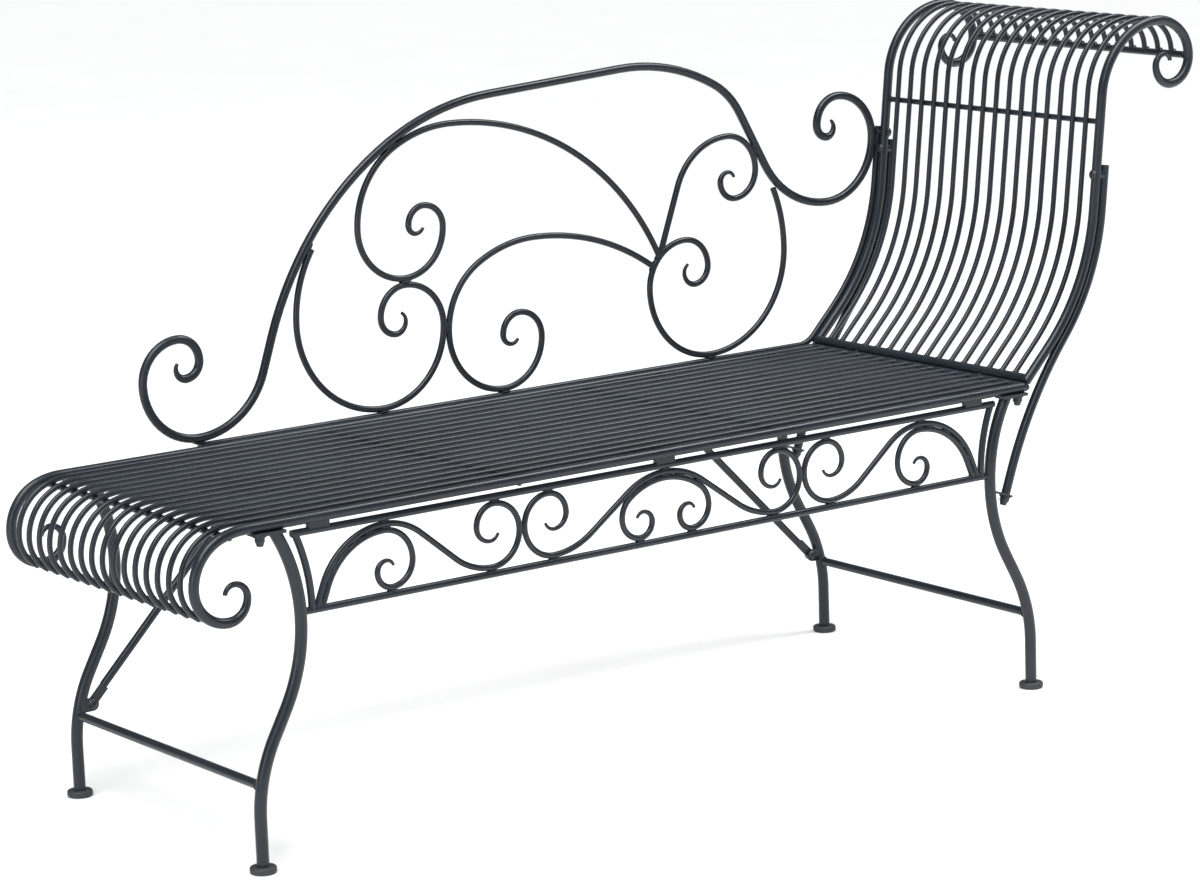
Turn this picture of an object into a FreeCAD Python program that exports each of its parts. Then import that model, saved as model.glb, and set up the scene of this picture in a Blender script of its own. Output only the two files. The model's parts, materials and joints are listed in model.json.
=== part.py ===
import FreeCAD, Part
import math
import os
from FreeCAD import Vector

os.makedirs("parts", exist_ok=True)

# Sizes in millimetres and degrees. X runs from the foot end to the head end,
# Y from the apron side to the side-back side and Z up from the floor.

# Seat
rail_spacing = 458.0
rail_height = 434.0
rail_bar = 13.5
rod_bar = 7.5
rod_count = 16
end_bar = 10.0
cross_bar = 8.0
seat_cross_count = 3
first_cross_turn = 13.0
waist_span = 1136.0
head_overhang = 64.0
foot_overhang = 74.0
foot_roll = [(100.0, 20.0), (63.0, 70.0), (46.5, 60.0)]
foot_curl = [(46.5, 30.0), (28.5, 90.0), (18.0, 90.0), (14.0, 80.0)]
rail_tip = 6.0
weld_gap = 0.2

# Headrest
headrest_seat_angle = 48.0
headrest_tilt = 45.0
headrest_upright = 83.5
headrest_low_run = 57.0
headrest_sweep = 310.0
headrest_high_run = 161.0
head_roll = [(66.0, 45.0), (50.0, 45.0)]
head_roll_radius = 108.0
head_curl = [(37.0, 90.0), (27.0, 90.0), (16.0, 90.0), (12.0, 80.0)]
mid_bar_below_roll = 38.0

# Stays behind the headrest
stay_bar = 13.0
stay_behind = 15.0
stay_bolt_drop = 14.0
stay_top_run = 63.0
stay_arc_end = 50.0
stay_foot_heading = 70.0
stay_foot_radius = 600.0
stay_foot_drop = 147.0
tab_width = 14.0
tab_thick = 3.0
tab_margin = 8.0

# Legs
leg_bar = 16.0
pad_width = 34.0
pad_height = 8.0
pad_round = 2.5
leg_low_radius = 205.0
leg_lean = 29.0
leg_mid_run = 38.0
leg_high_radius = 225.0
leg_top_turn = 30.6
plate_thick = 4.0
plate_width = 20.0
plate_inner = 11.0
plate_outer = 33.5
plate_bolt_out = 22.0
stretcher_bar = 12.0
stretcher_rise = 42.0

# Braces on the side-back side
brace_bar = 11.0
brace_foot_rise = 54.0
brace_foot_inset = 9.0
brace_rise = 45.0
brace_tab_height = 18.0
brace_top_drop = 9.0
paddle_width = 13.0
paddle_length = 30.0
paddle_front = 3.0

# Apron
apron_bar = 9.5
apron_scroll_bar = 8.0
apron_drop = 16.0
apron_height = 100.0
apron_high_gap = 22.0
apron_low_gap = 17.0
apron_end_clear = 3.0
apron_stud_length = 40.0
spacer_length = 30.0
spacer_width = 8.0
spacer_offset = 537.0
curl_side = 44.0
curl_ends = [(28.0, 90.0), (20.0, 90.0), (14.0, 70.0)]
wave_fullness = 0.865
wave_centre_share = 0.53
arch_radius = 100.0
arch_turn = 68.0
inner_side = 41.5
inner_ends = [(21.0, 90.0), (14.0, 90.0), (11.0, 70.0)]
centre_turn = 37.0
centre_side = 32.0
centre_ends = [(20.0, 90.0), (14.0, 90.0), (11.0, 70.0)]
apron_tip = 4.0

# Side back
base_bar = 9.0
base_lift = 5.0
base_start = -424.0
base_bend = 40.0
post_run = 82.0
scroll_bar = 9.0
arch_bar = 12.0
scroll_tip = 4.5
low_scroll_x = -128.0
low_scroll_right = 106.0
low_scroll_top = 61.0
low_scroll_curl = [(42.5, 90.0), (24.0, 90.0), (17.0, 90.0), (13.0, 60.0)]
low_scroll_left = 134.0
low_scroll_join = 24.0
high_scroll_right = 66.5
high_scroll_curl = [(31.0, 90.0), (26.0, 90.0), (12.0, 90.0), (14.0, 60.0)]
high_scroll_left = 74.0
high_scroll_shoulder = [(123.0, 60.0), (190.0, 30.0)]
mid_scroll_right = 68.0
mid_scroll_curl = [(37.0, 90.0), (29.5, 90.0), (14.0, 90.0), (13.0, 60.0)]
mid_scroll_left = 90.0
mid_scroll_shoulder = [(107.0, 60.0), (191.0, 30.0)]
loop_x = 445.5
loop_right = 143.0
loop_rise = 222.0
loop_left = 107.0
loop_top = 66.0
mid_join = 30.0
high_join = 45.0
loop_curl = [(41.0, 90.0), (25.5, 90.0), (18.0, 90.0), (14.0, 60.0)]
hook_heading = 69.5
hook_shoulder = 98.0
hook_side = 52.0
hook_curl = [(40.0, 90.0), (25.5, 90.0), (14.0, 90.0), (12.0, 70.0)]
arch_fall = [(453.0, 41.0)]
arch_foot_radius = 112.0
arch_foot_curl = [(81.0, 90.0), (56.0, 90.0), (32.0, 90.0), (22.5, 90.0), (14.0, 90.0), (12.0, 40.0)]
arch_crown_radius = 383.0
arch_crown_slope = 3.5
arch_shoulder = [(314.0, 32.0), (117.0, 32.5)]
arch_drop_run = 91.0
arch_valley_radius = 132.0
arch_head_curl = [(90.5, 90.0), (65.0, 90.0), (40.5, 90.0), (18.5, 90.0), (13.5, 90.0), (13.0, 50.0)]
panel_bolt_spread = 300.0

# Fasteners
bolt_shank = 6.0
bolt_clearance = 0.3
washer_width = 17.0
washer_thick = 2.0
nut_width = 12.5
nut_height = 5.5
cap_width = 12.0
cap_tip = 8.5
cap_height = 6.0
cap_bolt_depth = 14.0
button_width = 14.0
button_height = 4.0
button_depth = 21.0

rail_y = rail_spacing / 2
seat_end_x = waist_span / 2 + head_overhang
roll_start_x = -waist_span / 2 - foot_overhang
rod_rise = (rail_bar - rod_bar) / 2


def sine(angle):
    return math.sin(math.radians(angle))


def cosine(angle):
    return math.cos(math.radians(angle))


class Line:
    # The centre line of a bar in an upright plane, made of straight runs and tangent bends.
    def __init__(self, x, z, heading):
        self.begin = (x, z, heading)
        self.x = x
        self.z = z
        self.heading = heading
        self.steps = []
        self.pieces = []

    def point(self):
        return Vector(self.x, 0, self.z)

    def run(self, length):
        first = self.point()
        self.x += length * cosine(self.heading)
        self.z += length * sine(self.heading)
        self.pieces.append((first, self.point()))
        self.steps.append((length, None))
        return self

    # A positive angle turns left and a negative one right.
    def bend(self, radius, angle):
        side = math.copysign(radius, angle)
        middle_x = self.x - side * sine(self.heading)
        middle_z = self.z + side * cosine(self.heading)
        stops = []
        for share in (0, 0.5, 1):
            facing = self.heading + angle * share
            stops.append(Vector(middle_x + side * sine(facing), 0, middle_z - side * cosine(facing)))
        self.x = stops[2].x
        self.z = stops[2].z
        self.heading += angle
        self.pieces.append(tuple(stops))
        self.steps.append((radius, angle))
        return self

    def bends(self, listed, side):
        for radius, angle in listed:
            self.bend(radius, side * angle)
        return self

    # One tangent bend that ends on a given point.
    def reach(self, goal):
        chord = goal - self.point()
        lean = math.degrees(math.atan2(chord.z, chord.x)) - self.heading
        lean = (lean + 180) % 360 - 180
        return self.bend(chord.Length / 2 / sine(abs(lean)), 2 * lean)

    # The parallel line a distance to the right of this one, over its first steps.
    def beside(self, shift, count):
        x, z, heading = self.begin
        line = Line(x + shift * sine(heading), z - shift * cosine(heading), heading)
        for size, angle in self.steps[:count]:
            if angle is None:
                line.run(size)
            else:
                line.bend(size + math.copysign(shift, angle), angle)
        return line

    def edges(self):
        return [curve(piece) for piece in self.pieces]


def curve(piece):
    if len(piece) == 2:
        return Part.LineSegment(piece[0], piece[1]).toShape()
    return Part.Arc(piece[0], piece[1], piece[2]).toShape()


# Two lines that leave one point in opposite directions, as one line from end to end.
def joined(left, right):
    whole = Line(left.x, left.z, left.heading + 180)
    whole.pieces = [tuple(reversed(piece)) for piece in reversed(left.pieces)] + right.pieces
    whole.x = right.x
    whole.z = right.z
    whole.heading = right.heading
    return whole


def ring(edge, at_end, width):
    place = edge.LastParameter if at_end else edge.FirstParameter
    return Part.Wire(Part.makeCircle(width / 2, edge.valueAt(place), edge.tangentAt(place)))


def swept(pieces, first_width, last_width):
    edges = [curve(piece) for piece in pieces]
    maker = Part.BRepOffsetAPI.MakePipeShell(Part.Wire(edges))
    maker.add(ring(edges[0], False, first_width))
    if first_width != last_width:
        maker.add(ring(edges[-1], True, last_width))
    maker.build()
    maker.makeSolid()
    return maker.shape()


# A round bar along a line. Scrolled ends taper over a number of bends.
def bar(line, y, width, tip=0.0, first_taper=0, last_taper=0):
    count = len(line.pieces)
    solid = swept(line.pieces[first_taper:count - last_taper], width, width)
    if first_taper:
        solid = solid.fuse(swept(line.pieces[:first_taper], tip, width))
    if last_taper:
        solid = solid.fuse(swept(line.pieces[count - last_taper:], width, tip))
    solid.translate(Vector(0, y, 0))
    return solid


def cross(x, z, width, half_length):
    return Part.makeCylinder(width / 2, 2 * half_length, Vector(x, -half_length, z), Vector(0, 1, 0))


def mirrored(shape):
    return shape.mirror(Vector(0, 0, 0), Vector(1, 0, 0))


def other_side(shape):
    return shape.mirror(Vector(0, 0, 0), Vector(0, 1, 0))


def along(shape, point, axis):
    placed = shape.copy()
    placed.Placement = FreeCAD.Placement(point, FreeCAD.Rotation(Vector(0, 0, 1), axis))
    return placed


# A flat plate with its length, width and thickness along three directions from its middle.
def plate(middle, long_way, length, wide_way, width, thick):
    up = long_way.cross(wide_way)
    box = Part.makeBox(length, width, thick, Vector(-length / 2, -width / 2, -thick / 2))
    turned = FreeCAD.Matrix(long_way, wide_way, up)
    box.Placement = FreeCAD.Placement(middle, FreeCAD.Rotation(turned))
    return box


# Cuts a bar at a corner, keeping the side that a direction points to.
def mitre(shape, corner, keep):
    size = 4 * rail_bar
    block = Part.makeBox(2 * size, 2 * size, size, Vector(-size, -size, -size))
    return shape.cut(along(block, corner, keep))


def hex_nut(start):
    reach = nut_width / math.sqrt(3)
    corners = [Vector(reach * cosine(60 * k), reach * sine(60 * k), start) for k in range(7)]
    return Part.Face(Part.makePolygon(corners)).extrude(Vector(0, 0, -nut_height))


# A bolt seated at a point, its shank going in along an axis and its washer and cap nut standing out.
def cap_bolt(point, axis):
    washer = Part.makeCylinder(washer_width / 2, washer_thick, Vector(0, 0, -washer_thick))
    rim = washer_thick + nut_height
    cap = Part.makeCone(cap_tip / 2, cap_width / 2, cap_height, Vector(0, 0, -rim - cap_height))
    shank = Part.makeCylinder(bolt_shank / 2, cap_bolt_depth)
    return along(shank.fuse([washer, hex_nut(-washer_thick), cap]), point, axis)


# A bolt with a low round head.
def button_bolt(point, axis, depth):
    reach = button_width / 2
    ball = (reach ** 2 + button_height ** 2) / (2 * button_height)
    head = Part.makeSphere(ball, Vector(0, 0, ball - button_height))
    head = head.common(Part.makeCylinder(reach, button_height, Vector(0, 0, -button_height)))
    shank = Part.makeCylinder(bolt_shank / 2, depth)
    return along(shank.fuse(head), point, axis)


def bolt_hole(point, axis, depth):
    reach = bolt_shank / 2 + bolt_clearance
    hole = Part.makeCylinder(reach, depth + 2 * bolt_clearance, Vector(0, 0, -bolt_clearance))
    return along(hole, point, axis)


# Finds the first value past a low one where a miss changes sign.
def settle(miss, low, step):
    rising = miss(low) < 0
    high = low + step
    while (miss(high) < 0) == rising:
        low = high
        high += step
    for _ in range(30):
        middle = (low + high) / 2
        if (miss(middle) < 0) == rising:
            low = middle
        else:
            high = middle
    return (low + high) / 2


def distance(first, second):
    return Part.Wire(first).distToShape(Part.Wire(second))[0]


parts = {}

# Seat rails, their end tube, foot bar and rods
seat_line = Line(seat_end_x, rail_height, 180).run(seat_end_x - roll_start_x).bends(foot_roll, 1)
foot_bar_at = seat_line.point()
roll_steps = len(seat_line.steps)
seat_line.bends(foot_curl, 1)
seat_rail_line = joined(Line(seat_end_x, rail_height, 0).run(rail_bar), seat_line)
seat_corner = Vector(seat_end_x, rail_y, rail_height)
rear_rail = bar(seat_rail_line, rail_y, rail_bar, rail_tip, 0, 3)
rear_rail = mitre(rear_rail, seat_corner, Vector(-1, 1, 0))
end_tube = cross(seat_end_x, rail_height, rail_bar, rail_y + rail_bar)
end_tube = mitre(end_tube, seat_corner, Vector(1, -1, 0))
end_tube = mitre(end_tube, Vector(seat_end_x, -rail_y, rail_height), Vector(1, 1, 0))
foot_cross = cross(foot_bar_at.x, foot_bar_at.z, end_bar, rail_y)
foot_cross = foot_cross.cut([rear_rail, other_side(rear_rail)])

rod_pitch = rail_spacing / (rod_count + 1)
rod_places = [(k - (rod_count - 1) / 2) * rod_pitch for k in range(rod_count)]


def rods(line, first_bar, last_bar):
    rod = bar(line, 0, rod_bar).cut([first_bar, last_bar])
    rod = max(rod.Solids, key=lambda solid: solid.Volume)
    return Part.makeCompound([rod.translated(Vector(0, y, 0)) for y in rod_places])


parts["seat_rods"] = rods(seat_line.beside(rod_rise, roll_steps), end_tube, foot_cross)
under_rods = (rod_bar + cross_bar) / 2 + weld_gap - rod_rise
roll_inside = foot_roll[0][0] - under_rods
first_cross_x = roll_start_x - roll_inside * sine(first_cross_turn)
seat_cross_pitch = (seat_end_x - first_cross_x) / seat_cross_count
for number in range(seat_cross_count):
    fall = roll_inside * (1 - cosine(first_cross_turn)) if number == 0 else 0
    across_x = first_cross_x + number * seat_cross_pitch
    across = cross(across_x, rail_height - under_rods - fall, cross_bar, rail_y)
    parts["seat_cross_bar_%d" % (number + 1)] = across.cut([rear_rail, other_side(rear_rail)])

# Headrest frame, its bars and rods
seat_away = Vector(cosine(headrest_seat_angle), 0, sine(headrest_seat_angle))
tube_step = rail_bar + weld_gap
head_x = seat_end_x + tube_step * seat_away.x
head_z = rail_height + tube_step * seat_away.z
head_line = Line(head_x, head_z, headrest_tilt).run(headrest_low_run)
head_line.bend(headrest_sweep, headrest_upright - headrest_tilt)
sweep_end = head_line.point()
head_line.run(headrest_high_run)
head_line.bend(head_roll_radius, -headrest_upright).bends(head_roll, -1)
top_bar_at = head_line.point()
head_steps = len(head_line.steps)
head_line.bends(head_curl, -1)
head_back = Line(head_x, head_z, headrest_tilt + 180).run(rail_bar)
head_way = Vector(cosine(headrest_tilt), 0, sine(headrest_tilt))
head_corner = Vector(head_x, rail_y, head_z)
rear_head_rail = bar(joined(head_back, head_line), rail_y, rail_bar, rail_tip, 0, 3)
rear_head_rail = mitre(rear_head_rail, head_corner, head_way + Vector(0, 1, 0))
head_tube = cross(head_x, head_z, rail_bar, rail_y + rail_bar)
head_tube = mitre(head_tube, head_corner, Vector(0, -1, 0) - head_way)
head_tube = mitre(head_tube, Vector(head_x, -rail_y, head_z), Vector(0, 1, 0) - head_way)
top_cross = cross(top_bar_at.x, top_bar_at.z, end_bar, rail_y)
top_cross = top_cross.cut([rear_head_rail, other_side(rear_head_rail)])
parts["headrest_rods"] = rods(head_line.beside(-rod_rise, head_steps), head_tube, top_cross)
upright_way = Vector(cosine(headrest_upright), 0, sine(headrest_upright))
behind_way = Vector(sine(headrest_upright), 0, -cosine(headrest_upright))
mid_at = sweep_end + upright_way * (headrest_high_run - mid_bar_below_roll)
mid_at = mid_at + behind_way * under_rods
mid_cross = cross(mid_at.x, mid_at.z, cross_bar, rail_y)
mid_cross = mid_cross.cut([rear_head_rail, other_side(rear_head_rail)])

# Bolts that hold the headrest's bottom tube on the seat's end tube
head_bolt_seat = Vector(seat_end_x, 0, rail_height) - seat_away * (rail_bar / 2)
button_bolts = []
for y in (-5 * rod_pitch, 5 * rod_pitch):
    seat = head_bolt_seat + Vector(0, y, 0)
    button_bolts.append(button_bolt(seat, seat_away, button_depth))
    end_tube = end_tube.cut(bolt_hole(seat, seat_away, button_depth))
    head_tube = head_tube.cut(bolt_hole(seat, seat_away, button_depth))

# Legs
plate_top = rail_height - rail_bar / 2
plate_bottom = plate_top - plate_thick
waist_x = waist_span / 2
waist_height = plate_bottom - leg_high_radius * sine(leg_top_turn)
leg_bend_height = (waist_height - (leg_low_radius + leg_high_radius) * sine(leg_lean)
                   - leg_mid_run * cosine(leg_lean))
foot_x = (waist_x + (leg_low_radius + leg_high_radius) * (1 - cosine(leg_lean))
          + leg_mid_run * sine(leg_lean))
leg_line = Line(foot_x, pad_height, 90).run(leg_bend_height - pad_height)
leg_line.bend(leg_low_radius, leg_lean).run(leg_mid_run).bend(leg_high_radius, -leg_lean)
leg_top_x = waist_x + leg_high_radius * (1 - cosine(leg_top_turn))
leg_line.bend(leg_high_radius, -leg_top_turn).run(leg_bar)
above_leg = Part.makeBox(8 * leg_bar, 2 * leg_bar, 4 * leg_bar,
                         Vector(leg_top_x - 4 * leg_bar, rail_y - leg_bar, plate_bottom))
head_leg = bar(leg_line, rail_y, leg_bar).cut(above_leg)
pad = Part.makeCylinder(pad_width / 2, pad_height, Vector(foot_x, rail_y, 0))
pad = pad.makeFillet(pad_round, pad.Edges)

plate_shift = (plate_outer - plate_inner) / 2
plate_middle = Vector(leg_top_x + plate_shift, rail_y, (plate_top + plate_bottom) / 2)
top_plate = plate(plate_middle, Vector(1, 0, 0), plate_inner + plate_outer,
                  Vector(0, 1, 0), plate_width, plate_thick)
plate_bolt_at = Vector(leg_top_x + plate_bolt_out, rail_y, plate_bottom)
plate_bolt = cap_bolt(plate_bolt_at, Vector(0, 0, 1))
plate_hole = bolt_hole(plate_bolt_at, Vector(0, 0, 1), cap_bolt_depth)
top_plate = top_plate.cut(plate_hole)

# Stretchers between the legs of each end, on the legs' centre line
stretcher_turn = math.degrees(math.asin(stretcher_rise / leg_low_radius))
stretcher_x = foot_x - leg_low_radius * (1 - cosine(stretcher_turn))
stretcher = cross(stretcher_x, leg_bend_height + stretcher_rise, stretcher_bar, rail_y)
stretcher = stretcher.cut([head_leg, other_side(head_leg)])

# Stays from the head legs up the back of the headrest
stay_top = sweep_end + upright_way * stay_top_run + behind_way * stay_behind
stay_line = Line(stay_top.x, stay_top.z, headrest_upright + 180).run(stay_top_run)
stay_line.bend(headrest_sweep + stay_behind, stay_arc_end - headrest_upright)
stay_line.bend(stay_foot_radius, stay_foot_heading - stay_arc_end)
stay_line.run((stay_line.z - rail_height + stay_foot_drop) / sine(stay_foot_heading))
stay_foot = stay_line.point() + Vector(0, rail_y, 0)
stay_way = Vector(cosine(stay_foot_heading), 0, sine(stay_foot_heading))
tab_way = Vector(sine(stay_foot_heading), 0, -cosine(stay_foot_heading))
rear_stay = bar(stay_line, rail_y, stay_bar)
tab_length = (stay_foot.x - waist_x) / tab_way.x + tab_margin
tab_middle = stay_foot + tab_way * (tab_margin - tab_length / 2) - stay_way * (tab_thick / 2)
rear_tab = plate(tab_middle, tab_way, tab_length, Vector(0, 1, 0), tab_width, tab_thick).cut(head_leg)
rear_tab = max(rear_tab.Solids, key=lambda solid: solid.CenterOfMass.x)
stay_bolt_at = stay_foot - stay_way * tab_thick
low_stay_bolt = cap_bolt(stay_bolt_at, stay_way)
low_stay_hole = bolt_hole(stay_bolt_at, stay_way, cap_bolt_depth)
saddle_at = sweep_end + upright_way * (stay_top_run - stay_bolt_drop) + Vector(0, rail_y, 0)
high_bolt_at = saddle_at - behind_way * (rail_bar / 2)
high_stay_bolt = button_bolt(high_bolt_at, behind_way, button_depth)
high_stay_hole = bolt_hole(high_bolt_at, behind_way, button_depth)
button_bolts += [high_stay_bolt, other_side(high_stay_bolt)]
rear_saddle = along(Part.makeCylinder(stay_bar * 0.46, stay_behind), saddle_at, behind_way)
rear_saddle = rear_saddle.cut([rear_stay, rear_head_rail, high_stay_hole])
rear_stay = rear_stay.cut([low_stay_hole, high_stay_hole])
rear_tab = rear_tab.cut(low_stay_hole)

# Braces from the rear legs up to the rear rail
brace_foot_turn = math.degrees(math.asin(brace_foot_rise / leg_low_radius))
brace_leg_x = foot_x - leg_low_radius * (1 - cosine(brace_foot_turn))
brace_foot = Vector(brace_leg_x - leg_bar / 2 - brace_foot_inset, rail_y, leg_bend_height + brace_foot_rise)
brace_top_z = rail_height - rail_bar / 2 - brace_top_drop
brace_top = Vector(brace_foot.x - (brace_top_z - brace_foot.z) / math.tan(math.radians(brace_rise)),
                   rail_y, brace_top_z)
brace_way = (brace_top - brace_foot).normalize()
brace_y = rail_y + tab_thick / 2 + bolt_clearance
paddle_y = brace_y - paddle_front


def paddle(eye, way):
    wide = Vector(0, 1, 0).cross(way)
    leaf = plate(eye + way * (paddle_length / 2), way, paddle_length, wide, paddle_width, tab_thick)
    round_end = Part.makeCylinder(paddle_width / 2, tab_thick)
    leaf = leaf.fuse(along(round_end, eye + Vector(0, tab_thick / 2, 0), Vector(0, -1, 0)))
    leaf.translate(Vector(0, paddle_y - rail_y, 0))
    return leaf


brace_inner = (brace_top - brace_foot).Length - 2 * paddle_length
brace_start = brace_foot + brace_way * paddle_length + Vector(0, brace_y - rail_y, 0)
brace_tube = Part.makeCylinder(brace_bar / 2, brace_inner, brace_start, brace_way)
head_brace = brace_tube.fuse([paddle(brace_foot, brace_way), paddle(brace_top, brace_way * -1)])
head_brace = head_brace.removeSplitter()
tab_y = paddle_y - tab_thick - bolt_clearance
low_eye = Vector(brace_foot.x, tab_y - tab_thick / 2, brace_foot.z)
low_brace_tab = Part.makeBox(brace_leg_x - brace_foot.x, tab_thick, brace_tab_height,
                             low_eye - Vector(0, 0, brace_tab_height / 2))
low_round_end = Part.makeCylinder(brace_tab_height / 2, tab_thick, low_eye, Vector(0, 1, 0))
low_brace_tab = low_brace_tab.fuse(low_round_end).removeSplitter().cut([head_leg, stretcher])
low_brace_tab = min(low_brace_tab.Solids, key=lambda solid: solid.CenterOfMass.x)
high_brace_tab = Part.makeBox(brace_tab_height, tab_thick, rail_height - brace_top.z + paddle_width / 2,
                              Vector(brace_top.x - brace_tab_height / 2, tab_y - tab_thick / 2,
                                     brace_top.z - paddle_width / 2))
high_brace_tab = high_brace_tab.cut(rear_rail)
high_brace_tab = min(high_brace_tab.Solids, key=lambda solid: solid.CenterOfMass.z)
brace_bolts = []
brace_nuts = []
brace_grip = 2 * tab_thick + bolt_clearance
for eye in (brace_foot, brace_top):
    seat = Vector(eye.x, tab_y - tab_thick / 2, eye.z)
    brace_bolts.append(button_bolt(seat, Vector(0, 1, 0), brace_grip + nut_height))
    nut = along(hex_nut(0), Vector(eye.x, paddle_y + tab_thick / 2, eye.z), Vector(0, -1, 0))
    brace_nuts.append(nut.cut(bolt_hole(seat, Vector(0, 1, 0), brace_grip + nut_height)))
    hole = bolt_hole(seat, Vector(0, 1, 0), brace_grip)
    head_brace = head_brace.cut(hole)
    low_brace_tab = low_brace_tab.cut(hole)
    high_brace_tab = high_brace_tab.cut(hole)

# Apron frame under the front rail
apron_top_z = rail_height - apron_drop
apron_low_z = apron_top_z - apron_height


# A point beside the head leg's upper curve, inside it by a gap from centre to centre.
def inside_leg(height, gap):
    reach = leg_high_radius + gap
    x = waist_x + leg_high_radius - math.sqrt(reach ** 2 - (height - waist_height) ** 2)
    return Vector(x, -rail_y, height)


low_corner = inside_leg(apron_low_z, apron_low_gap)
high_corner = inside_leg(apron_top_z, apron_high_gap)
post_middle = inside_leg((apron_low_z + apron_top_z) / 2, (apron_low_gap + apron_high_gap) / 2)


def lengthwise(half_length, z, width):
    return Part.makeCylinder(width / 2, 2 * half_length, Vector(-half_length, -rail_y, z), Vector(1, 0, 0))


front_rail = other_side(rear_rail)
front_head_leg = other_side(head_leg)
low_joint = inside_leg(apron_low_z, 0)
apron_top = lengthwise(high_corner.x + apron_bar / 2, apron_top_z, apron_bar)
apron_low = lengthwise(low_joint.x, apron_low_z, apron_bar)
apron_low = apron_low.cut([front_head_leg, mirrored(front_head_leg)])
head_post = swept([(low_corner, post_middle, high_corner)], apron_bar, apron_bar)
head_post = head_post.cut([apron_top, apron_low])

spacers = []
for x in (-spacer_offset, 0, spacer_offset):
    block = Part.makeBox(spacer_length, spacer_width, apron_drop,
                         Vector(x - spacer_length / 2, -rail_y - spacer_width / 2, apron_top_z))
    spacers.append(block.cut([front_rail, apron_top]))

# Studs that hold the bottom rail's ends on the front legs
inward = Vector(-1, 0, 0)
apron_stud = along(Part.makeCylinder(bolt_shank / 2, apron_stud_length), low_joint, inward)
stud_hole = bolt_hole(low_joint, inward, apron_stud_length)
front_head_leg = front_head_leg.cut(stud_hole)
apron_low = apron_low.cut([stud_hole, mirrored(stud_hole)])

# Apron scrollwork: waves that touch both rails, with curls beside them
wave_step = apron_scroll_bar + weld_gap
wave_top = apron_top_z - (apron_bar + apron_scroll_bar) / 2 - weld_gap
wave_low = apron_low_z + (apron_bar + apron_scroll_bar) / 2 + weld_gap
wave_fall = wave_top - wave_low
arch_width = arch_radius * sine(arch_turn)
arch_run = (wave_fall + apron_scroll_bar / 2 - arch_radius * (1 - cosine(arch_turn))) / sine(arch_turn)
arch_reach = arch_width + arch_run * cosine(arch_turn)
wave_end = low_corner.x - apron_bar / 2 - apron_end_clear
wave_total = wave_end - arch_reach - 2 * curl_side - wave_step
centre_wide = wave_total * wave_centre_share
side_wide = wave_total - centre_wide


def wave_radius(wide):
    return wave_fullness * (wide ** 2 + wave_fall ** 2) / (4 * wave_fall)


# An S from a rail down to the other rail, over a given width.
def wave(line, wide, side):
    radius = wave_radius(wide)
    low = wave_fall - 2 * radius
    lean = math.degrees(math.atan2(low, wide) + math.asin(2 * radius / math.hypot(wide, low)))
    straight = (wave_fall - 2 * radius * (1 - cosine(lean))) / sine(lean)
    return line.bend(radius, -side * lean).run(straight).bend(radius, side * lean)


def wave_with_curl(line, wide, side):
    wave(line, wide, side)
    line.bend(curl_side, side * 90).bend(wave_fall - curl_side, side * 90)
    return line.bends(curl_ends, side)


centre_wave = joined(wave_with_curl(Line(0, wave_top, 180), centre_wide, -1),
                     wave_with_curl(Line(0, wave_top, 0), centre_wide, 1))
parts["apron_centre_wave"] = bar(centre_wave, -rail_y, apron_scroll_bar, apron_tip, 2, 2)

side_top_x = centre_wide + 2 * curl_side + wave_step + side_wide


def arch(line, shift):
    line.bend(arch_radius - shift, -arch_turn)
    return line.run(arch_run + apron_bar)


side_wave = joined(arch(Line(side_top_x, wave_top, 0), 0),
                   wave_with_curl(Line(side_top_x, wave_top, 180), side_wide, -1))
head_wave = bar(side_wave, -rail_y, apron_scroll_bar, apron_tip, 0, 2)
head_wave = max(head_wave.cut(apron_low).Solids, key=lambda solid: solid.Volume)

inner_top = wave_top - wave_step
inner_low = inner_top - inner_side - wave_low
side_curl = Line(side_top_x, inner_top, 180).bend(inner_side, 90).bend(inner_low, 90).bends(inner_ends, 1)
side_curl = joined(arch(Line(side_top_x, inner_top, 0), wave_step), side_curl)
head_curl_bar = bar(side_curl, -rail_y, apron_scroll_bar, apron_tip, 0, 2)
head_curl_bar = max(head_curl_bar.cut(apron_low).Solids, key=lambda solid: solid.Volume)

centre_arc = wave_radius(centre_wide) - wave_step


def centre_half(side):
    line = Line(0, inner_top, 90 - 90 * side).bend(centre_arc, -side * centre_turn)
    line.bend(centre_side, -side * (90 - centre_turn))
    return line.bend(line.z - wave_low, -side * 90).bends(centre_ends, -side)


centre_curl = joined(centre_half(-1), centre_half(1))
parts["apron_centre_curl"] = bar(centre_curl, -rail_y, apron_scroll_bar, apron_tip, 2, 2)

# Side back: base bar with its post, along the rear seat rail and up the headrest rail
panel_y = rail_y + math.sqrt(((rail_bar + base_bar) / 2 + weld_gap) ** 2 - base_lift ** 2)
base_z = rail_height + base_lift
stand_z = base_z + base_bar / 2 + weld_gap
post_start = Vector(head_x - base_lift * sine(headrest_tilt), 0, head_z + base_lift * cosine(headrest_tilt))
corner_back = (post_start.z - base_z) / sine(headrest_tilt)
base_corner_x = post_start.x - corner_back * cosine(headrest_tilt)
bend_back = base_bend * math.tan(math.radians(headrest_tilt / 2))
base_line = Line(base_start, base_z, 0).run(base_corner_x - bend_back - base_start)
base_line.bend(base_bend, headrest_tilt).run(corner_back + headrest_low_run - bend_back)
base_line.bend(headrest_sweep - base_lift, headrest_upright - headrest_tilt).run(post_run)
post_edges = base_line.edges()[-2:]
base = bar(base_line, panel_y, base_bar)

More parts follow.
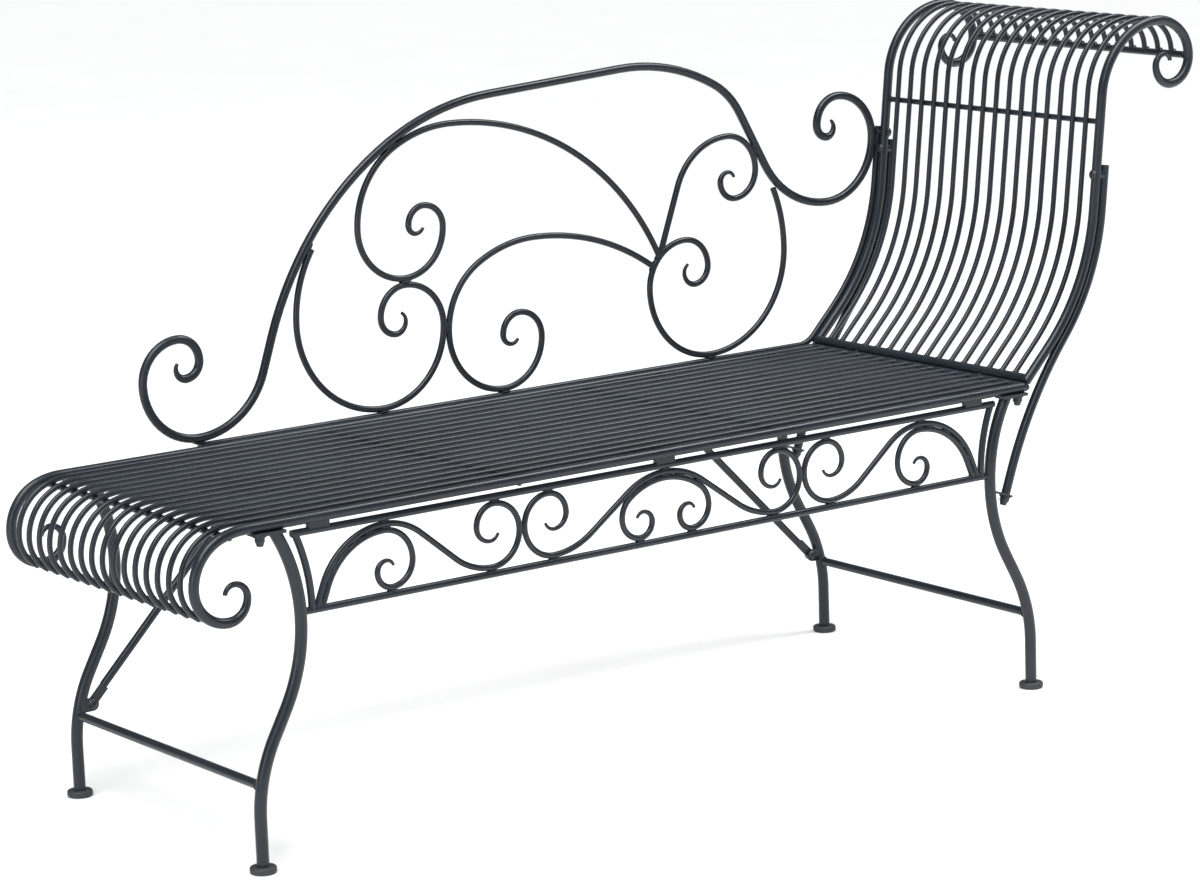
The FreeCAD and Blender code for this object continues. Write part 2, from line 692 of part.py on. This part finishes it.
# Side back: lower scroll, the scroll that stands on it and the one beside it
scroll_z = stand_z + scroll_bar / 2
scroll_step = scroll_bar + weld_gap
arch_step = (scroll_bar + arch_bar) / 2 + weld_gap
low_right = Line(low_scroll_x, scroll_z, 0).bend(low_scroll_right, 90).bend(low_scroll_top, 90)
low_top = low_right.point()
low_right.bends(low_scroll_curl, 1)
high_right = Line(low_top.x, low_top.z + scroll_step, 0).bend(high_scroll_right, 90)
high_right.bends(high_scroll_curl, 1)
high_left = Line(low_top.x, low_top.z + scroll_step, 180).bend(high_scroll_left, -90)
high_left.bends(high_scroll_shoulder[:1], -1)
arch_start = high_left.point() + Vector(-sine(high_left.heading), 0, cosine(high_left.heading)) * arch_step
arch_heading = high_left.heading
high_left.bends(high_scroll_shoulder[1:], -1)
shoulder = mid_scroll_shoulder[0][0]
beside_gap = low_scroll_right + shoulder + scroll_step
beside_x = math.sqrt(beside_gap ** 2 - (low_scroll_right - mid_scroll_left) ** 2)
mid_x = low_scroll_x + beside_x - shoulder + mid_scroll_left
mid_right = Line(mid_x, scroll_z, 0).bend(mid_scroll_right, 90).bends(mid_scroll_curl, 1)
mid_left = Line(mid_x, scroll_z, 180).bend(mid_scroll_left, -90).bends(mid_scroll_shoulder, -1)

# Side back: the loop, whose left shoulder gathers the long ends of the two scrolls and the hook
loop_left_line = Line(loop_x, scroll_z, 180).bend(loop_left, -90).bend(loop_top, -mid_join)
mid_left.reach(loop_left_line.point())
gather = loop_left_line.bend(loop_top, mid_join - high_join).point()
loop_left_line.bend(loop_top, high_join - 90).bends(loop_curl, -1)
high_left.reach(gather)


# Side back: the arch tube, from its foot curl over the crown to the curl against the post
def arch_foot(straight):
    line = Line(arch_start.x, arch_start.z, arch_heading + 180).bends(arch_fall, 1).run(straight)
    return line.bend(arch_foot_radius, 180 - line.heading)


def arch_head(straight):
    line = Line(arch_start.x, arch_start.z, arch_heading)
    line.bend(arch_crown_radius, arch_crown_slope - arch_heading).run(straight).bends(arch_shoulder, -1)
    line.run(arch_drop_run)
    line.bend(arch_valley_radius, -line.heading)
    return line.bends(arch_head_curl, 1)


def foot_miss(straight):
    return arch_foot(straight).z - stand_z - arch_bar / 2


def post_miss(straight):
    curl = len(arch_head_curl)
    return distance(arch_head(straight).edges()[-curl:2 - curl], post_edges) - arch_step


foot_arch = arch_foot(settle(foot_miss, 0.5, 40)).bends(arch_foot_curl, -1)
head_arch = arch_head(settle(post_miss, 60, 20))
arch_line = joined(foot_arch, head_arch)
arch_edges = arch_line.edges()


def hook_line(straight):
    return Line(gather.x, gather.z, hook_heading).run(straight).bend(hook_shoulder, -hook_heading)


def hook_miss(straight):
    return distance(hook_line(straight).bend(hook_side, -90).edges()[-1:], arch_edges) - arch_step


def loop_rise_line(turn):
    return Line(loop_x, scroll_z, 0).bend(loop_right, 90).bend(loop_rise, turn)


def end_miss(line):
    return distance(line.edges()[-1:], arch_edges) - arch_step


hook = hook_line(settle(hook_miss, 5, 4)).bend(hook_side, -90).bends(hook_curl, -1)
low_join = Line(arch_start.x, arch_start.z, arch_heading + 180).bend(arch_fall[0][0], low_scroll_join)
low_end = low_join.point() + Vector(-sine(low_join.heading), 0, cosine(low_join.heading)) * arch_step
low_left = Line(low_scroll_x, scroll_z, 180).bend(low_scroll_left, -90).reach(low_end)
loop_right_line = loop_rise_line(settle(lambda turn: end_miss(loop_rise_line(turn)), 1, 2))

loop = bar(joined(loop_left_line, loop_right_line), panel_y, scroll_bar, scroll_tip, 2, 0)
high_scroll = bar(joined(high_left, high_right), panel_y, scroll_bar, scroll_tip, 0, 2).cut(loop)
high_scroll = max(high_scroll.Solids, key=lambda solid: solid.Volume)
mid_scroll = bar(joined(mid_left, mid_right), panel_y, scroll_bar, scroll_tip, 0, 2).cut([loop, high_scroll])
mid_scroll = max(mid_scroll.Solids, key=lambda solid: solid.Volume)
hook_bar = bar(hook, panel_y, scroll_bar, scroll_tip, 0, 2).cut([loop, high_scroll, mid_scroll])
hook_bar = max(hook_bar.Solids, key=lambda solid: solid.Volume)
parts["back_low_scroll"] = bar(joined(low_left, low_right), panel_y, scroll_bar, scroll_tip, 0, 2)
parts["back_high_scroll"] = high_scroll
parts["back_mid_scroll"] = mid_scroll
parts["back_loop"] = loop
parts["back_hook"] = hook_bar
parts["back_arch_tube"] = bar(arch_line, panel_y, arch_bar, scroll_tip, 2, 2)

# Bolts that hold the side back to the rear seat rail and headrest rail
panel_in = Vector(0, panel_y - rail_y, base_lift).normalize()
post_in = (behind_way * -base_lift + Vector(0, panel_y - rail_y, 0)).normalize()
post_eye = sweep_end + upright_way * (post_run - button_width * 0.6) + Vector(0, rail_y, 0)
joints = [(Vector(x, rail_y, rail_height), panel_in) for x in (-panel_bolt_spread, 0, panel_bolt_spread)]
for middle, way in joints + [(post_eye, post_in)]:
    inside = middle - way * (rail_bar / 2)
    button_bolts.append(button_bolt(inside, way, button_depth))
    hole = bolt_hole(inside, way, button_depth)
    base = base.cut(hole)
    rear_rail = rear_rail.cut(hole)
    rear_head_rail = rear_head_rail.cut(hole)
parts["back_base_bar"] = base

# Every bolted hole in the rails and legs, then all the pieces by name
front_head_rail = other_side(bar(joined(head_back, head_line), rail_y, rail_bar, rail_tip, 0, 3))
front_head_rail = mitre(front_head_rail, Vector(head_x, -rail_y, head_z), head_way - Vector(0, 1, 0))
parts["headrest_rail_rear"] = rear_head_rail.cut(high_stay_hole)
parts["headrest_rail_front"] = front_head_rail.cut(other_side(high_stay_hole))
parts["headrest_bottom_tube"] = head_tube
parts["headrest_mid_bar"] = mid_cross
parts["headrest_top_bar"] = top_cross
parts["seat_rail_rear"] = rear_rail.cut([plate_hole, mirrored(plate_hole)])
parts["seat_rail_front"] = front_rail.cut([other_side(plate_hole), other_side(mirrored(plate_hole))])
parts["seat_end_tube"] = end_tube
parts["seat_foot_bar"] = foot_cross
parts["stay_rear"] = rear_stay
parts["stay_front"] = other_side(rear_stay)
parts["stay_tabs"] = Part.makeCompound([rear_tab, other_side(rear_tab)])
parts["stay_saddles"] = Part.makeCompound([rear_saddle, other_side(rear_saddle)])
parts["leg_head_rear"] = head_leg
parts["leg_head_front"] = front_head_leg
parts["leg_foot_rear"] = mirrored(head_leg)
parts["leg_foot_front"] = mirrored(front_head_leg)
cap_bolts = [low_stay_bolt, other_side(low_stay_bolt)]
for end, flip_x in (("head", False), ("foot", True)):
    for side, flip_y in (("rear", False), ("front", True)):
        for name, shape in (("leg_plate", top_plate), ("foot_pad", pad), ("", plate_bolt)):
            piece = mirrored(shape) if flip_x else shape
            piece = other_side(piece) if flip_y else piece
            if name:
                parts["%s_%s_%s" % (name, end, side)] = piece
            else:
                cap_bolts.append(piece)
parts["cap_bolts"] = Part.makeCompound(cap_bolts)
parts["button_bolts"] = Part.makeCompound(button_bolts)
parts["stretcher_head"] = stretcher
parts["stretcher_foot"] = mirrored(stretcher)
parts["brace_head"] = head_brace
parts["brace_foot"] = mirrored(head_brace)
brace_tabs = [low_brace_tab, mirrored(low_brace_tab), high_brace_tab, mirrored(high_brace_tab)]
parts["brace_tabs"] = Part.makeCompound(brace_tabs)
parts["brace_bolts"] = Part.makeCompound(brace_bolts + [mirrored(piece) for piece in brace_bolts])
parts["brace_nuts"] = Part.makeCompound(brace_nuts + [mirrored(piece) for piece in brace_nuts])
parts["apron_top_rail"] = apron_top
parts["apron_bottom_rail"] = apron_low
parts["apron_post_head"] = head_post
parts["apron_post_foot"] = mirrored(head_post)
parts["apron_spacers"] = Part.makeCompound(spacers)
parts["apron_studs"] = Part.makeCompound([apron_stud, mirrored(apron_stud)])
parts["apron_wave_head"] = head_wave
parts["apron_wave_foot"] = mirrored(head_wave)
parts["apron_curl_head"] = head_curl_bar
parts["apron_curl_foot"] = mirrored(head_curl_bar)

# The origin is on the floor under the middle of the whole piece.
box = FreeCAD.BoundBox()
for shape in parts.values():
    box.add(shape.optimalBoundingBox(False, False))
shift = Vector(-(box.XMin + box.XMax) / 2, -(box.YMin + box.YMax) / 2, -box.ZMin)
for name, shape in parts.items():
    shape.translated(shift).exportStep("parts/%s.step" % name)
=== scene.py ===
import bpy
import json
from math import cos, pi, sin
from mathutils import Matrix, Vector
from mathutils.bvhtree import BVHTree


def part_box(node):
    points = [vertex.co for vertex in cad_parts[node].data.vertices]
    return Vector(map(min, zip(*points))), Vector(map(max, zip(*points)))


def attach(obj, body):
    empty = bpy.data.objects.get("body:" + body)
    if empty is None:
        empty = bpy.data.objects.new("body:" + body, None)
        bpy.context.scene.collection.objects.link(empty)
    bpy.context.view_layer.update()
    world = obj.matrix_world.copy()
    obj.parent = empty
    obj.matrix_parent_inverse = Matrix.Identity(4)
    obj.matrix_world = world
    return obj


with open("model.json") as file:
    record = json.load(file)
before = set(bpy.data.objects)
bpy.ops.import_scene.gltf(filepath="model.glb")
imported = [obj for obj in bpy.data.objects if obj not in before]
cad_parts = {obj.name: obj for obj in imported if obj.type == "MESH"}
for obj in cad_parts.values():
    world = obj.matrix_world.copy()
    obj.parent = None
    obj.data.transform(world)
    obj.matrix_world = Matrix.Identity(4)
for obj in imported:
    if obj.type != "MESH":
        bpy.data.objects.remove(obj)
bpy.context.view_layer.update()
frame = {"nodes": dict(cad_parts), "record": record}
nodes = frame["nodes"]
bpy.ops.object.select_all(action="DESELECT")
print("frame loaded:", len(nodes), "nodes")


class Shade:  # one output of a material's nodes, with operators that add Math nodes
    def __init__(self, tree, socket=None):
        self.tree = tree
        self.socket = socket

    def node(self, kind, settings=None, inputs=None, output=0):
        made = self.tree.nodes.new(kind)
        for name, value in (settings or {}).items():
            setattr(made, name, value)
        for name, value in (inputs or {}).items():
            if isinstance(value, Shade):
                self.tree.links.new(value.socket, made.inputs[name])
            else:
                made.inputs[name].default_value = value
        return Shade(self.tree, made.outputs[output] if made.outputs else None)

    def maths(self, operation, first, second):
        return self.node("ShaderNodeMath", {"operation": operation}, {0: first, 1: second})

    def __add__(self, other):
        return self.maths("ADD", self, other)

    def __sub__(self, other):
        return self.maths("SUBTRACT", self, other)

    def __rsub__(self, other):
        return self.maths("SUBTRACT", other, self)

    def __mul__(self, other):
        return self.maths("MULTIPLY", self, other)

    def between(self, low, high):  # 0 below low, 1 above high, smooth between them
        settings = {"interpolation_type": "SMOOTHSTEP"}
        return self.node("ShaderNodeMapRange", settings, {"Value": self, "From Min": low, "From Max": high})

    def noise(self, scale, detail, rough=0.5):
        values = {"Vector": self, "Scale": scale, "Detail": detail, "Roughness": rough}
        return self.node("ShaderNodeTexNoise", None, values)

    def blend(self, first, second):  # two colours, with this value as the share of the second
        values = {0: self, 6: first, 7: second}
        return self.node("ShaderNodeMix", {"data_type": "RGBA"}, values, 2)


def newMaterial(name):
    material = bpy.data.materials.new(name)
    material.use_nodes = True
    tree = material.node_tree
    tree.nodes.clear()
    return material, Shade(tree)


def finishMaterial(shade, values):
    shader = shade.node("ShaderNodeBsdfPrincipled", None, values)
    shade.node("ShaderNodeOutputMaterial", None, {"Surface": shader})


frameCoat = {
    "deep": (0.0076, 0.0124, 0.0174), "pale": (0.0134, 0.0202, 0.0274), "dust": (0.038, 0.047, 0.054),
    "bare": (0.10, 0.105, 0.11), "rough": 0.33, "peel": 0.10, "wearAbove": 0.71,
    "driftScale": 7.0, "gritScale": 950.0, "peelScale": 330.0, "wearScale": 46.0, "dustScale": 24.0,
    "dustShare": 0.30, "wearShare": 0.55, "specular": 0.42, "driftRange": (0.32, 0.68),
    "upRange": (0.55, 1.0), "dustRange": (0.35, 0.75), "wearBand": 0.06, "gritRelief": 0.35,
    "reliefDepth": 0.0006, "roughDrop": 0.08, "driftRough": 0.06, "gritRough": 0.08, "dustRough": 0.25,
    "wearRough": 0.08,
}
rodCoat = {**frameCoat, "pale": (0.0140, 0.0212, 0.0286), "rough": 0.32}
scrollCoat = {**frameCoat, "deep": (0.0071, 0.0116, 0.0164), "pale": (0.0128, 0.0194, 0.0266), "rough": 0.32}


def coatMaterial(name, look):  # satin powder coat: tone drift, orange peel, fine grit and rubbed spots
    material, shade = newMaterial(name)
    place = shade.node("ShaderNodeTexCoord", output=3)
    drift = place.noise(look["driftScale"], 3.0).between(*look["driftRange"])
    grit = place.noise(look["gritScale"], 2.0)
    peel = place.noise(look["peelScale"], 2.0)
    wearAbove = look["wearAbove"]
    rubbed = place.noise(look["wearScale"], 6.0, 0.62).between(wearAbove, wearAbove + look["wearBand"])
    facing = shade.node("ShaderNodeNewGeometry", output=1)
    upward = shade.node("ShaderNodeSeparateXYZ", None, {0: facing}, 2).between(*look["upRange"])
    dusty = place.noise(look["dustScale"], 4.0).between(*look["dustRange"])
    settled = upward * dusty * look["dustShare"]
    colour = drift.blend((*look["deep"], 1.0), (*look["pale"], 1.0))
    colour = settled.blend(colour, (*look["dust"], 1.0))
    colour = (rubbed * look["wearShare"]).blend(colour, (*look["bare"], 1.0))
    height = peel + grit * look["gritRelief"]
    relief = {"Strength": look["peel"], "Distance": look["reliefDepth"], "Height": height}
    bump = shade.node("ShaderNodeBump", None, relief)
    rough = drift * look["driftRough"] + grit * look["gritRough"] + settled * look["dustRough"]
    rough = rough + (look["rough"] - look["roughDrop"]) - rubbed * look["wearRough"]
    finishMaterial(shade, {"Base Color": colour, "Roughness": rough, "Normal": bump,
                           "Specular IOR Level": look["specular"]})
    return material


boltLook = {
    "coat": (0.0115, 0.0172, 0.0232), "worn": (0.075, 0.080, 0.085), "rough": 0.40, "edge": 0.0012,
    "scuffScale": 420.0, "scuffRange": (0.35, 0.6), "edgeRange": (0.02, 0.16), "edgeShare": 0.75,
    "edgeMetal": 0.7, "relief": 0.12, "reliefDepth": 0.0004, "roughDrop": 0.07, "scuffRough": 0.14,
    "edgeRough": 0.1,
}


def boltMaterial(name, look):  # blackened bolts and nuts, rubbed a little brighter on their corners
    material, shade = newMaterial(name)
    place = shade.node("ShaderNodeTexCoord", output=3)
    facing = shade.node("ShaderNodeNewGeometry", output=1)
    eased = shade.node("ShaderNodeBevel", {"samples": 4}, {"Radius": look["edge"]})
    turned = shade.node("ShaderNodeVectorMath", {"operation": "DOT_PRODUCT"}, {0: facing, 1: eased}, 1)
    scuffs = place.noise(look["scuffScale"], 5.0, 0.6)
    edge = (1.0 - turned).between(*look["edgeRange"]) * scuffs.between(*look["scuffRange"])
    colour = (edge * look["edgeShare"]).blend((*look["coat"], 1.0), (*look["worn"], 1.0))
    rough = scuffs * look["scuffRough"] + (look["rough"] - look["roughDrop"]) - edge * look["edgeRough"]
    relief = {"Strength": look["relief"], "Distance": look["reliefDepth"], "Height": scuffs}
    bump = shade.node("ShaderNodeBump", None, relief)
    finishMaterial(shade, {"Base Color": colour, "Roughness": rough, "Metallic": edge * look["edgeMetal"],
                           "Normal": bump})
    return material


padLook = {
    "deep": (0.020, 0.024, 0.028), "pale": (0.036, 0.042, 0.047), "soil": (0.10, 0.10, 0.095),
    "rough": 0.62, "soilTop": 0.004, "grainScale": 620.0, "soilScale": 210.0, "grainRange": (0.3, 0.7),
    "soilRange": (0.4, 0.7), "soilShare": 0.5, "relief": 0.18, "reliefDepth": 0.0005, "roughDrop": 0.06,
    "grainRough": 0.12, "soilRough": 0.2,
}


def padMaterial(name, look):  # matt moulded pads, paler with dust close to the floor
    material, shade = newMaterial(name)
    place = shade.node("ShaderNodeTexCoord", output=3)
    grain = place.noise(look["grainScale"], 3.0)
    height = shade.node("ShaderNodeSeparateXYZ", None, {0: place}, 2)
    patches = place.noise(look["soilScale"], 4.0).between(*look["soilRange"])
    soil = (1.0 - height.between(0.0, look["soilTop"])) * patches * look["soilShare"]
    colour = grain.between(*look["grainRange"]).blend((*look["deep"], 1.0), (*look["pale"], 1.0))
    colour = soil.blend(colour, (*look["soil"], 1.0))
    relief = {"Strength": look["relief"], "Distance": look["reliefDepth"], "Height": grain}
    bump = shade.node("ShaderNodeBump", None, relief)
    rough = grain * look["grainRough"] + soil * look["soilRough"] + (look["rough"] - look["roughDrop"])
    finishMaterial(shade, {"Base Color": colour, "Roughness": rough, "Normal": bump})
    return material


finishes = {
    "frame_coat": coatMaterial("frameCoat", frameCoat),
    "rod_coat": coatMaterial("rodCoat", rodCoat),
    "scroll_coat": coatMaterial("scrollCoat", scrollCoat),
    "fastener": boltMaterial("blackenedBolts", boltLook),
    "pad": padMaterial("footPads", padLook),
}
for subpart in frame["record"]["subparts"]:
    mesh = nodes[subpart["node"]].data
    mesh.materials.clear()
    mesh.materials.append(finishes[subpart["material_slot"]])
print("materials set:", len(finishes))

weld = {
    "reach": 0.0006, "apart": 0.020, "steps": 12, "ripples": 5, "rippleHeight": 0.12, "tip": 0.04,
    "swell": 0.6, "long": 0.0085, "wide": 0.0021, "sink": 0.0026, "collar": 0.30, "uneven": 0.07,
    "lift": 0.0006, "rodRadius": 0.00375, "apronShare": 0.8,
}


def touches(first, second):  # places where two CAD nodes meet, with the way out of the second
    reach = weld["reach"]
    bars = nodes[second].data
    tree = BVHTree.FromPolygons([v.co for v in bars.vertices], [p.vertices for p in bars.polygons])
    low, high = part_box(second)
    spots = []
    for corner in nodes[first].data.vertices:
        if all(low[k] - reach < corner.co[k] < high[k] + reach for k in range(3)):
            spot, normal, _, gap = tree.find_nearest(corner.co, reach)
            if spot is not None:
                spots.append((gap, spot, normal))
    groups = []
    for gap, spot, normal in sorted(spots, key=lambda found: found[0]):
        near = [g for g in groups if (g[0][0] - spot).length < weld["apart"]]
        if near:
            near[0].append((spot, normal))
        else:
            groups.append([(spot, normal)])
    found = []
    for group in groups:
        middle = sum((spot for spot, _ in group), Vector()) / len(group)
        found.append((middle, sum((normal for _, normal in group), Vector()).normalized()))
    return found


def beadMaster():  # a rippled run of weld, one unit long each way from its middle and one unit thick
    bpy.ops.mesh.primitive_circle_add(vertices=8, radius=1.0, fill_type="NGON", location=(0, 0, -1))
    bead = bpy.context.object
    bpy.ops.object.mode_set(mode="EDIT")
    bpy.ops.mesh.select_all(action="SELECT")
    widths = []
    for step in range(weld["steps"] + 1):
        share = weld["tip"] + (1.0 - 2 * weld["tip"]) * step / weld["steps"]
        ripple = 1.0 + weld["rippleHeight"] * cos(2 * pi * weld["ripples"] * share)
        widths.append(sin(pi * share) ** weld["swell"] * ripple)
    bpy.ops.transform.resize(value=(widths[0], widths[0], 1.0))
    for before, width in zip(widths, widths[1:]):
        bpy.ops.mesh.extrude_region_move(TRANSFORM_OT_translate={"value": (0, 0, 2.0 / weld["steps"])})
        bpy.ops.transform.resize(value=(width / before, width / before, 1.0))
    bpy.ops.mesh.select_all(action="SELECT")
    bpy.ops.mesh.normals_make_consistent(inside=False)
    bpy.ops.object.mode_set(mode="OBJECT")
    bpy.ops.object.transform_apply(location=True, rotation=True, scale=True)
    bpy.ops.object.shade_smooth()
    return bead


def collarMaster():  # a ring of weld round a bar's end, one unit in radius
    bpy.ops.mesh.primitive_torus_add(major_segments=16, minor_segments=6, major_radius=1.0,
                                     minor_radius=weld["collar"], location=(0, 0, 0))
    collar = bpy.context.object
    bpy.ops.object.mode_set(mode="EDIT")
    bpy.ops.mesh.select_all(action="SELECT")
    bpy.ops.transform.vertex_random(offset=weld["uneven"], uniform=0.0, normal=0.0, seed=4)
    bpy.ops.object.mode_set(mode="OBJECT")
    bpy.ops.object.shade_smooth()
    return collar


def placed(master, middle, along, outward, sizes):  # a copy of a weld with its place and size in its mesh
    side = along.cross(outward).normalized()
    turn = Matrix((side, along.cross(side).normalized(), along.normalized())).transposed().to_4x4()
    copy = master.copy()
    copy.data = master.data.copy()
    copy.data.transform(Matrix.Translation(middle) @ turn @ Matrix.Diagonal((*sizes, 1.0)))
    bpy.context.collection.objects.link(copy)
    return copy


def joinWelds(name, pieces):
    bpy.ops.object.select_all(action="DESELECT")
    for piece in pieces:
        piece.select_set(True)
    bpy.context.view_layer.objects.active = pieces[0]
    bpy.ops.object.join()
    pieces[0].name = name
    pieces[0].data.materials.clear()
    pieces[0].data.materials.append(weldFinish)
    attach(pieces[0], "root")
    bpy.ops.object.select_all(action="DESELECT")
    print(name, "made of", len(pieces), "welds")


weldFinish = coatMaterial("weldCoat", {**frameCoat, "rough": 0.5, "peel": 0.25})
bead = beadMaster()
collar = collarMaster()
across = Vector((0, 1, 0))

backPairs = [("back_low_scroll", "back_base_bar"), ("back_mid_scroll", "back_base_bar"),
             ("back_loop", "back_base_bar"), ("back_arch_tube", "back_base_bar"),
             ("back_high_scroll", "back_low_scroll"), ("back_mid_scroll", "back_low_scroll"),
             ("back_high_scroll", "back_arch_tube"), ("back_low_scroll", "back_arch_tube"),
             ("back_loop", "back_arch_tube"), ("back_hook", "back_arch_tube"),
             ("back_mid_scroll", "back_loop"), ("back_high_scroll", "back_loop"), ("back_hook", "back_loop")]
apronPairs = [("apron_centre_wave", "apron_top_rail"), ("apron_centre_wave", "apron_bottom_rail"),
              ("apron_centre_curl", "apron_centre_wave"), ("apron_centre_curl", "apron_bottom_rail")]
for end in ("head", "foot"):
    apronPairs += [("apron_wave_" + end, "apron_top_rail"), ("apron_wave_" + end, "apron_bottom_rail"),
                   ("apron_wave_" + end, "apron_centre_wave"), ("apron_curl_" + end, "apron_wave_" + end),
                   ("apron_curl_" + end, "apron_bottom_rail"), ("apron_post_" + end, "apron_top_rail"),
                   ("apron_post_" + end, "apron_bottom_rail")]


def grooveWelds(pairs, share):  # a bead in the groove on each side of two bars that lie in one upright plane
    pieces = []
    for first, second in pairs:
        for middle, outward in touches(first, second):
            outward.y = 0.0
            along = outward.cross(across).normalized()
            for side in (-1, 1):
                spot = middle + across * side * weld["sink"] * share
                sizes = (weld["wide"] * share, weld["wide"] * share, weld["long"] * share)
                pieces.append(placed(bead, spot, along, across, sizes))
    return pieces


joinWelds("backWelds", grooveWelds(backPairs, 1.0))
joinWelds("apronWelds", grooveWelds(apronPairs, weld["apronShare"]))

endPairs = [("seat_rods", "seat_end_tube"), ("seat_rods", "seat_foot_bar"),
            ("headrest_rods", "headrest_bottom_tube"), ("headrest_rods", "headrest_top_bar")]
for number in (1, 2, 3):
    endPairs += [("seat_cross_bar_%d" % number, "seat_rail_" + side) for side in ("rear", "front")]
for side in ("rear", "front"):
    endPairs += [("seat_foot_bar", "seat_rail_" + side), ("headrest_top_bar", "headrest_rail_" + side),
                 ("headrest_mid_bar", "headrest_rail_" + side)]
    endPairs += [("stretcher_" + end, "leg_%s_%s" % (end, side)) for end in ("head", "foot")]


def endWelds(pairs):  # a collar where a bar's end meets the side of another bar
    pieces = []
    for first, second in pairs:
        low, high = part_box(first)
        width = min(high[k] - low[k] for k in range(3)) / 2
        if first.endswith("rods"):
            width = weld["rodRadius"]
        for middle, outward in touches(first, second):
            helper = across if abs(outward.y) < 0.9 else Vector((1, 0, 0))
            spot = middle + outward * weld["lift"]
            pieces.append(placed(collar, spot, outward, helper, (width, width, width)))
    return pieces


joinWelds("barEndWelds", endWelds(endPairs))
for master in (bead, collar):
    bpy.data.objects.remove(master)

floorLook = {"size": 80.0, "below": 0.0006, "pale": (0.945, 0.945, 0.945), "shade": (0.915, 0.915, 0.915),
             "toneScale": 2.0, "rough": 0.7, "roughSpread": 0.1}
bpy.ops.mesh.primitive_plane_add(size=floorLook["size"], location=(0, 0, -floorLook["below"]))
floor = bpy.context.object
floor.name = "floor"
floorPaint, floorShade = newMaterial("paleFloor")
floorTone = floorShade.node("ShaderNodeTexCoord", output=3).noise(floorLook["toneScale"], 4.0)
floorColour = floorTone.blend((*floorLook["shade"], 1.0), (*floorLook["pale"], 1.0))
floorRough = floorTone * floorLook["roughSpread"] + floorLook["rough"]
finishMaterial(floorShade, {"Base Color": floorColour, "Roughness": floorRough})
floor.data.materials.append(floorPaint)

lights = [  # name, place, aimed at, width, height, power
    ("keyLight", (-3.6, -3.4, 3.6), (0.0, 0.0, 0.45), 1.2, 1.2, 55.0),
    ("headLight", (2.2, -0.5, 3.5), (2.2, -0.5, 0.0), 2.6, 1.0, 114.0),
    ("lowLight", (-3.4, -0.9, 0.9), (-0.7, 0.0, 0.2), 1.4, 0.8, 14.0),
]
for name, place, goal, width, height, power in lights:
    bpy.ops.object.light_add(type="AREA", location=place)
    lamp = bpy.context.object
    lamp.name = name
    lamp.data.shape = "RECTANGLE"
    lamp.data.size = width
    lamp.data.size_y = height
    lamp.data.energy = power
    lamp.rotation_euler = (Vector(goal) - Vector(place)).to_track_quat("-Z", "Y").to_euler()
skyLook = {"place": (-2.0, -3.0, 5.0), "way": (0.35, 0.25, -1.0), "power": 3.1, "spread": 0.75}
bpy.ops.object.light_add(type="SUN", location=skyLook["place"])  # broad overhead light, even over the floor
sky = bpy.context.object
sky.name = "skyLight"
sky.data.energy = skyLook["power"]
sky.data.angle = skyLook["spread"]
sky.rotation_euler = Vector(skyLook["way"]).to_track_quat("-Z", "Y").to_euler()
world = bpy.data.worlds.new("studio")
bpy.context.scene.world = world
world.use_nodes = True
world.node_tree.nodes.clear()
backdrop = Shade(world.node_tree)
backdropLook = {"colour": (0.97, 0.99, 1.0, 1.0), "seen": 0.75, "lighting": 0.20}
seen = backdrop.node("ShaderNodeLightPath")  # the backdrop shows pale, but lights the coat softly
strength = seen * backdropLook["seen"] + backdropLook["lighting"]
glow = backdrop.node("ShaderNodeBackground", None, {"Color": backdropLook["colour"], "Strength": strength})
backdrop.node("ShaderNodeOutputWorld", None, {"Surface": glow})
bpy.context.scene.view_settings.view_transform = "Standard"

view = {"place": (-3.2373, -4.3434, 1.4861), "right": (0.80220, -0.59612, -0.03351),
        "up": (0.14347, 0.13799, 0.97998), "back": (-0.57956, -0.79095, 0.19622), "lens": 121.0,
        "sensor": 36.0, "clip": 200.0}
bpy.ops.object.camera_add()
camera = bpy.context.object
turn = Matrix((view["right"], view["up"], view["back"])).transposed()
camera.matrix_world = Matrix.Translation(view["place"]) @ turn.to_4x4()
camera.data.sensor_fit = "HORIZONTAL"
camera.data.sensor_width = view["sensor"]
camera.data.lens = view["lens"]
camera.data.clip_end = view["clip"]
bpy.context.scene.camera = camera
print("floor, lights and camera set")
